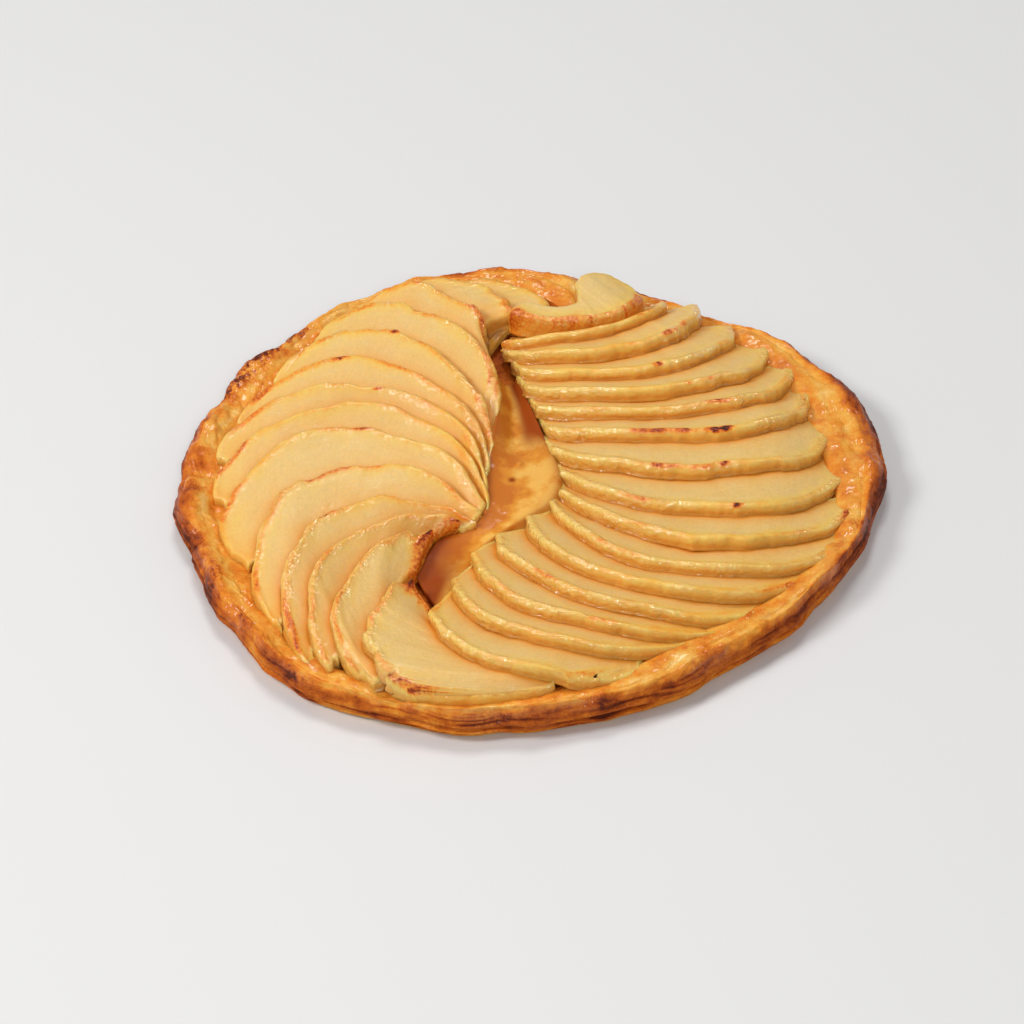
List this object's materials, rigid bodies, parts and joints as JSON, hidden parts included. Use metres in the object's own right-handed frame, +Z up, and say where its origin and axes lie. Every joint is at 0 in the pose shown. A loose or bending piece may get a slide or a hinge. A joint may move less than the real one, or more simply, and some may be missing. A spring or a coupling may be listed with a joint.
{
  "type": "apple tartlet",
  "caption": "Round puff pastry tartlet with overlapping baked fruit slices fanned in a spiral around an opening filled with compote.",
  "frame": {"origin": "middle of the underside: the centre of the whole part's box in X and Y, with its lowest point at z = 0", "axes": "+Z up out of the fruit; +Y towards the slice laid last, at the upper end of the opening; +X towards the side where the slices' outer ends lie below a wide rim"},
  "size_m": [0.1458, 0.142, 0.0153],
  "materials": {
    "baked_pastry": "matt, browned and flaky, with glaze in places",
    "baked_apple": "moist, glazed",
    "compote": "wet, smooth"
  },
  "bodies": {
    "root": {"pastry": "baked_pastry", "compote": "compote", "slice_01": "baked_apple", "slice_02": "baked_apple", "slice_03": "baked_apple", "slice_04": "baked_apple", "slice_05": "baked_apple", "slice_06": "baked_apple", "slice_07": "baked_apple", "slice_08": "baked_apple", "slice_09": "baked_apple", "slice_10": "baked_apple", "slice_11": "baked_apple", "slice_12": "baked_apple", "slice_13": "baked_apple", "slice_14": "baked_apple", "slice_15": "baked_apple", "slice_16": "baked_apple", "slice_17": "baked_apple", "slice_18": "baked_apple", "slice_19": "baked_apple", "slice_20": "baked_apple", "slice_21": "baked_apple", "slice_22": "baked_apple", "slice_23": "baked_apple", "slice_24": "baked_apple", "slice_25": "baked_apple", "slice_26": "baked_apple", "slice_27": "baked_apple", "slice_28": "baked_apple", "slice_29": "baked_apple", "slice_30": "baked_apple"}
  },
  "joints": []
}
